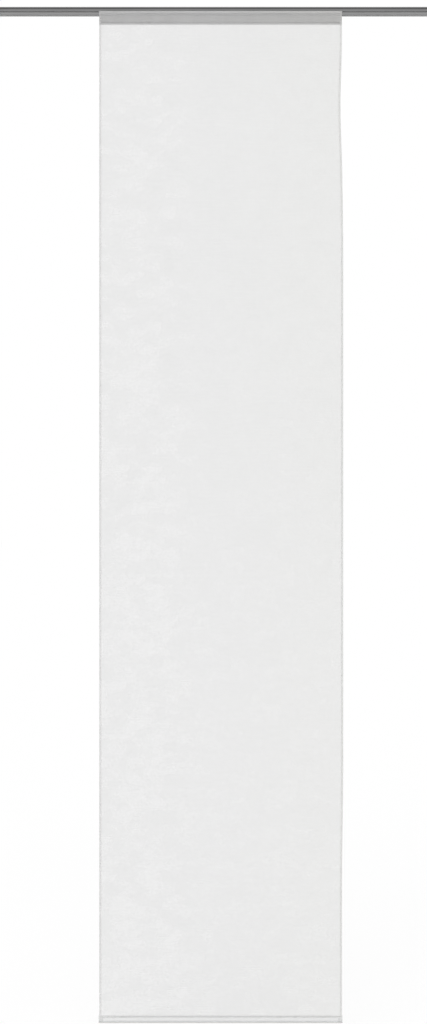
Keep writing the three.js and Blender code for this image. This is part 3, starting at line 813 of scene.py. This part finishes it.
def pile_tape(name, node, pitch, facing):
    """A strip of tape with a plain woven edge and rows of small raised tufts. facing is -1 to the front."""
    settings = bpy.context.scene.curtain_carrier
    low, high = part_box(node)
    width, height = high.x - low.x, high.z - low.z
    middle = (low.z + high.z) / 2
    back, front = (high.y, low.y) if facing < 0 else (low.y, high.y)
    base = back + facing * settings.tape_base
    bpy.ops.object.select_all(action="DESELECT")
    bpy.ops.mesh.primitive_grid_add(
        x_subdivisions=round(width / pitch), y_subdivisions=round(height / pitch), size=1.0,
        location=(0.0, back, middle), rotation=(-facing * math.pi / 2, 0.0, 0.0),
    )
    tape = name_piece(name)
    tape.scale = (width, height, 1.0)
    settle(tape)
    edit_faces(tape, lambda face: True)
    extrude((0.0, base - back, 0.0))
    end_edit()

    def in_field(face):
        faces_out = face.normal.y * facing > 0.9 and abs(face.center.y - base) < NEAR
        return faces_out and abs(face.center.z - middle) < height / 2 - pitch

    edit_faces(tape, in_field)
    bpy.ops.mesh.inset(thickness=pitch * TUFT_INSET, depth=abs(front - base), use_individual=True)
    end_edit()
    edit_faces(tape, lambda face: face.normal.y * facing < -0.9)
    bpy.ops.mesh.dissolve_faces()
    end_edit()
    smooth(tape)
    return tape


# Stage

def add_camera(scene):
    bpy.ops.object.select_all(action="DESELECT")
    cloth_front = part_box("panel_fabric")[0].y
    bpy.ops.object.camera_add(
        location=(-CAMERA_LEFT, cloth_front - CAMERA_DISTANCE, -CAMERA_BELOW_CEILING),
        rotation=(math.pi / 2, 0.0, 0.0),
    )
    camera = name_piece("camera")
    camera.data.sensor_width = SENSOR_MM
    camera.data.lens = SENSOR_MM * CAMERA_DISTANCE / (PHOTO_HEIGHT_PX * CLOTH_MM_PER_PX * MM)
    scene.camera = camera


def add_sun(name, towards, strength):
    """A soft lamp a long way off, which shines along towards."""
    bpy.ops.object.select_all(action="DESELECT")
    turn = towards.to_track_quat("-Z", "Y").to_euler()
    bpy.ops.object.light_add(type="SUN", location=-LAMP_DISTANCE * towards, rotation=turn)
    sun = name_piece(name)
    sun.data.energy = strength
    sun.data.angle = math.radians(LAMP_SPREAD)
    sun.visible_glossy = False


def seen_directly(tree):
    """1 for rays from the camera, in a reflection or through glass, and 0 for rays that light things."""
    rays = add_node(tree, "LightPath", {})
    seen = calculate(tree, "MAXIMUM", rays.outputs["Is Camera Ray"], rays.outputs["Is Glossy Ray"])
    return calculate(tree, "MAXIMUM", seen, rays.outputs["Is Transmission Ray"])


def light_surroundings(scene, ambient):
    """White surroundings that light the object at the ambient strength."""
    world = bpy.data.worlds.new("surroundings")
    world.use_nodes = True
    tree = world.node_tree
    tree.nodes.clear()
    strength = rescale(tree, seen_directly(tree), 0.0, 1.0, ambient, 1.0)
    background = add_node(tree, "Background", {"Color": (1.0, 1.0, 1.0, 1.0), "Strength": strength})
    add_node(tree, "OutputWorld", {"Surface": background.outputs["Background"]})
    scene.world = world


def add_floor(settings):
    """A wide pale floor that keeps the object's shadow and fades into the surroundings.

    It is clear from beneath, so that the rail's underside can be looked at.
    """
    bpy.ops.object.select_all(action="DESELECT")
    level = CAD_BOX[0].z - settings.floor_gap
    bpy.ops.mesh.primitive_circle_add(
        vertices=FLOOR_SIDES, radius=FLOOR_RADIUS, fill_type="NGON", location=(0.0, 0.0, level),
    )
    floor = name_piece("floor")
    tone = settings.floor_colour
    material, tree, shader = new_finish(
        "pale_floor",
        {
            "Base Color": (tone, tone, tone, 1.0), "Roughness": 1.0, "Specular IOR Level": 0.0,
            "Emission Color": (1.0, 1.0, 1.0, 1.0),
        },
    )
    lamps = -(settings.key * KEY_TOWARDS.z + settings.fill * FILL_TOWARDS.z) / math.pi
    short_of_white = 1.0 - tone * (settings.ambient + lamps)
    glow = calculate(tree, "MULTIPLY", seen_directly(tree), short_of_white)
    feed(tree, shader.inputs["Emission Strength"], glow)
    beneath = add_node(tree, "NewGeometry", {}).outputs["Backfacing"]
    clear = add_node(tree, "BsdfTransparent", {}).outputs["BSDF"]
    sides = add_node(tree, "MixShader", {0: beneath, 1: shader.outputs["BSDF"], 2: clear})
    feed(tree, tree.get_output_node("ALL").inputs["Surface"], sides.outputs["Shader"])
    floor.data.materials.append(material)


class CURTAIN_OT_stage(bpy.types.Operator):
    """Sets the camera, the soft lamps, the surroundings and the pale floor"""
    bl_idname = "curtain.stage"
    bl_label = "Stage"

    def execute(self, context):
        settings = context.scene.curtain_stage
        context.scene.view_settings.view_transform = "Standard"
        context.scene.cycles.transparent_max_bounces = CLEAR_LAYERS
        add_camera(context.scene)
        add_sun("key_lamp", KEY_TOWARDS, settings.key)
        add_sun("fill_lamp", FILL_TOWARDS, settings.fill)
        light_surroundings(context.scene, settings.ambient)
        add_floor(settings)
        return {"FINISHED"}


class CURTAIN_OT_rail(bpy.types.Operator):
    """Dresses the ceiling rail and its two end caps"""
    bl_idname = "curtain.rail"
    bl_label = "Rail and end caps"

    def execute(self, context):
        settings = context.scene.curtain_rail
        rail = eased("track_rail", "rail", settings.ease)
        ride_as(rail, TRACK, "rail_aluminium", rail_finish(settings), "track_rail")
        plastic = moulded_plastic("cap_plastic", settings.cap_colour, 0.5)
        for side in ("left", "right"):
            node = f"rail_end_cap_{side}"
            ride_as(eased(node, f"rail_cap_{side}", settings.ease), TRACK, "cap_plastic", plastic, node)
        return {"FINISHED"}


class CURTAIN_OT_end_stops(bpy.types.Operator):
    """Dresses the end stops in the front channel and their screws"""
    bl_idname = "curtain.end_stops"
    bl_label = "End stops"

    def execute(self, context):
        ease = context.scene.curtain_rail.ease
        plastic = moulded_plastic("stop_plastic", context.scene.curtain_rail.cap_colour, 0.5)
        steel = turned_steel("screw_steel", context.scene.curtain_carrier.screw_colour)
        for side in ("left", "right"):
            stop, screw = f"end_stop_{side}", f"end_stop_screw_{side}"
            ride_as(eased(stop, f"stop_{side}", ease), TRACK, "cap_plastic", plastic, stop)
            ride_as(eased(screw, f"stop_screw_{side}", ease), TRACK, "screw_steel", steel, screw)
        return {"FINISHED"}


class CURTAIN_OT_gliders(bpy.types.Operator):
    """Dresses the gliders that carry the panel in the rail"""
    bl_idname = "curtain.gliders"
    bl_label = "Gliders"

    def execute(self, context):
        plastic = moulded_plastic("glider_plastic", context.scene.curtain_carrier.glider_colour, 0.45)
        for node in sorted(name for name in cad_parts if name.startswith("glider_")):
            glider = eased(node, node.replace("glider", "carrier_glider"), context.scene.curtain_rail.ease)
            ride_as(glider, PANEL, "glider_plastic", plastic, node)
        return {"FINISHED"}


class CURTAIN_OT_carrier(bpy.types.Operator):
    """Dresses the carrier profile and its end caps"""
    bl_idname = "curtain.carrier"
    bl_label = "Carrier"

    def execute(self, context):
        ease = context.scene.curtain_rail.ease
        aluminium = carrier_finish(context.scene.curtain_carrier)
        plastic = moulded_plastic("carrier_cap_plastic", context.scene.curtain_rail.cap_colour, 0.5)
        carrier = eased("carrier_profile", "carrier", ease)
        ride_as(carrier, PANEL, "carrier_aluminium", aluminium, "carrier_profile")
        for side in ("left", "right"):
            node = f"carrier_end_cap_{side}"
            ride_as(eased(node, f"carrier_cap_{side}", ease), PANEL, "cap_plastic", plastic, node)
        return {"FINISHED"}


class CURTAIN_OT_tapes(bpy.types.Operator):
    """Makes the hook tape on the carrier and the loop tape on the cloth"""
    bl_idname = "curtain.tapes"
    bl_label = "Hook and loop tapes"

    def execute(self, context):
        settings = context.scene.curtain_carrier
        for kind, pitch, facing in (("hook", settings.hook_pitch, -1), ("loop", settings.loop_pitch, 1)):
            node = f"{kind}_tape"
            tape = pile_tape(f"{kind}_strip", node, pitch, facing)
            ride_as(tape, PANEL, node, woven_pile(f"{kind}_pile", settings.tape_colour, pitch), node)
        return {"FINISHED"}


class CURTAIN_OT_stitching(bpy.types.Operator):
    """Sews the hems and the loop tape"""
    bl_idname = "curtain.stitching"
    bl_label = "Stitching"

    def execute(self, context):
        settings = context.scene.curtain_cloth
        thread = sewing_thread(settings.thread_colour, settings.thread_opacity)
        for row in make_stitching():
            ride_as(row, PANEL, "panel_cloth", thread)
        return {"FINISHED"}


class CURTAIN_OT_cloth(bpy.types.Operator):
    """Makes the hanging cloth with its hems"""
    bl_idname = "curtain.cloth"
    bl_label = "Cloth"

    def execute(self, context):
        cloth = make_cloth()
        ride_as(cloth, PANEL, "panel_cloth", panel_cloth(context.scene.curtain_cloth), "panel_fabric")
        return {"FINISHED"}


class CURTAIN_OT_weight_bar(bpy.types.Operator):
    """Dresses the weight bar, its end caps and the keder rod that holds it"""
    bl_idname = "curtain.weight_bar"
    bl_label = "Weight bar"

    def execute(self, context):
        settings = context.scene.curtain_bar
        ease = context.scene.curtain_rail.ease
        cap_plastic = milky_plastic("bar_cap_plastic", settings.colour, settings.cap_opacity, 0.35)[0]
        rod_plastic = milky_plastic("keder_plastic", settings.rod_colour, settings.rod_opacity, 0.4)[0]
        ride_as(eased("weight_bar", "bar", ease), PANEL, "bar_plastic", bar_finish(settings), "weight_bar")
        for side in ("left", "right"):
            node = f"weight_bar_end_cap_{side}"
            ride_as(eased(node, f"bar_cap_{side}", ease), PANEL, "bar_plastic", cap_plastic, node)
        ride_as(eased("keder_rod", "keder", ease), PANEL, "glider_plastic", rod_plastic, "keder_rod")
        return {"FINISHED"}


SETTINGS = {
    "curtain_rail": RailSettings,
    "curtain_carrier": CarrierSettings,
    "curtain_cloth": ClothSettings,
    "curtain_bar": BarSettings,
    "curtain_stage": StageSettings,
}
OPERATORS = (
    CURTAIN_OT_stage, CURTAIN_OT_rail, CURTAIN_OT_end_stops, CURTAIN_OT_gliders, CURTAIN_OT_carrier,
    CURTAIN_OT_tapes, CURTAIN_OT_stitching, CURTAIN_OT_cloth, CURTAIN_OT_weight_bar,
)


class VIEW3D_PT_curtain(bpy.types.Panel):
    """Lists the curtain's settings and the steps that make it"""
    bl_label = "Panel curtain"
    bl_idname = "VIEW3D_PT_curtain"
    bl_space_type = "VIEW_3D"
    bl_region_type = "UI"
    bl_category = "Panel curtain"

    def draw(self, context):
        layout = self.layout
        for name, group in SETTINGS.items():
            box = layout.box()
            for setting in group.__annotations__:
                box.prop(getattr(context.scene, name), setting)
        for operator in OPERATORS:
            layout.operator(operator.bl_idname)


def register():
    for group in SETTINGS.values():
        bpy.utils.register_class(group)
    for name, group in SETTINGS.items():
        setattr(bpy.types.Scene, name, bpy.props.PointerProperty(type=group))
    for operator in OPERATORS:
        bpy.utils.register_class(operator)
    bpy.utils.register_class(VIEW3D_PT_curtain)


def unregister():
    bpy.utils.unregister_class(VIEW3D_PT_curtain)
    for operator in reversed(OPERATORS):
        bpy.utils.unregister_class(operator)
    for name, group in SETTINGS.items():
        delattr(bpy.types.Scene, name)
        bpy.utils.unregister_class(group)


def main():
    register()
    bpy.ops.curtain.stage()
    bpy.ops.curtain.rail()
    bpy.ops.curtain.end_stops()
    bpy.ops.curtain.gliders()
    bpy.ops.curtain.carrier()
    bpy.ops.curtain.tapes()
    bpy.ops.curtain.stitching()
    bpy.ops.curtain.cloth()
    bpy.ops.curtain.weight_bar()


if __name__ == "__main__":
    main()
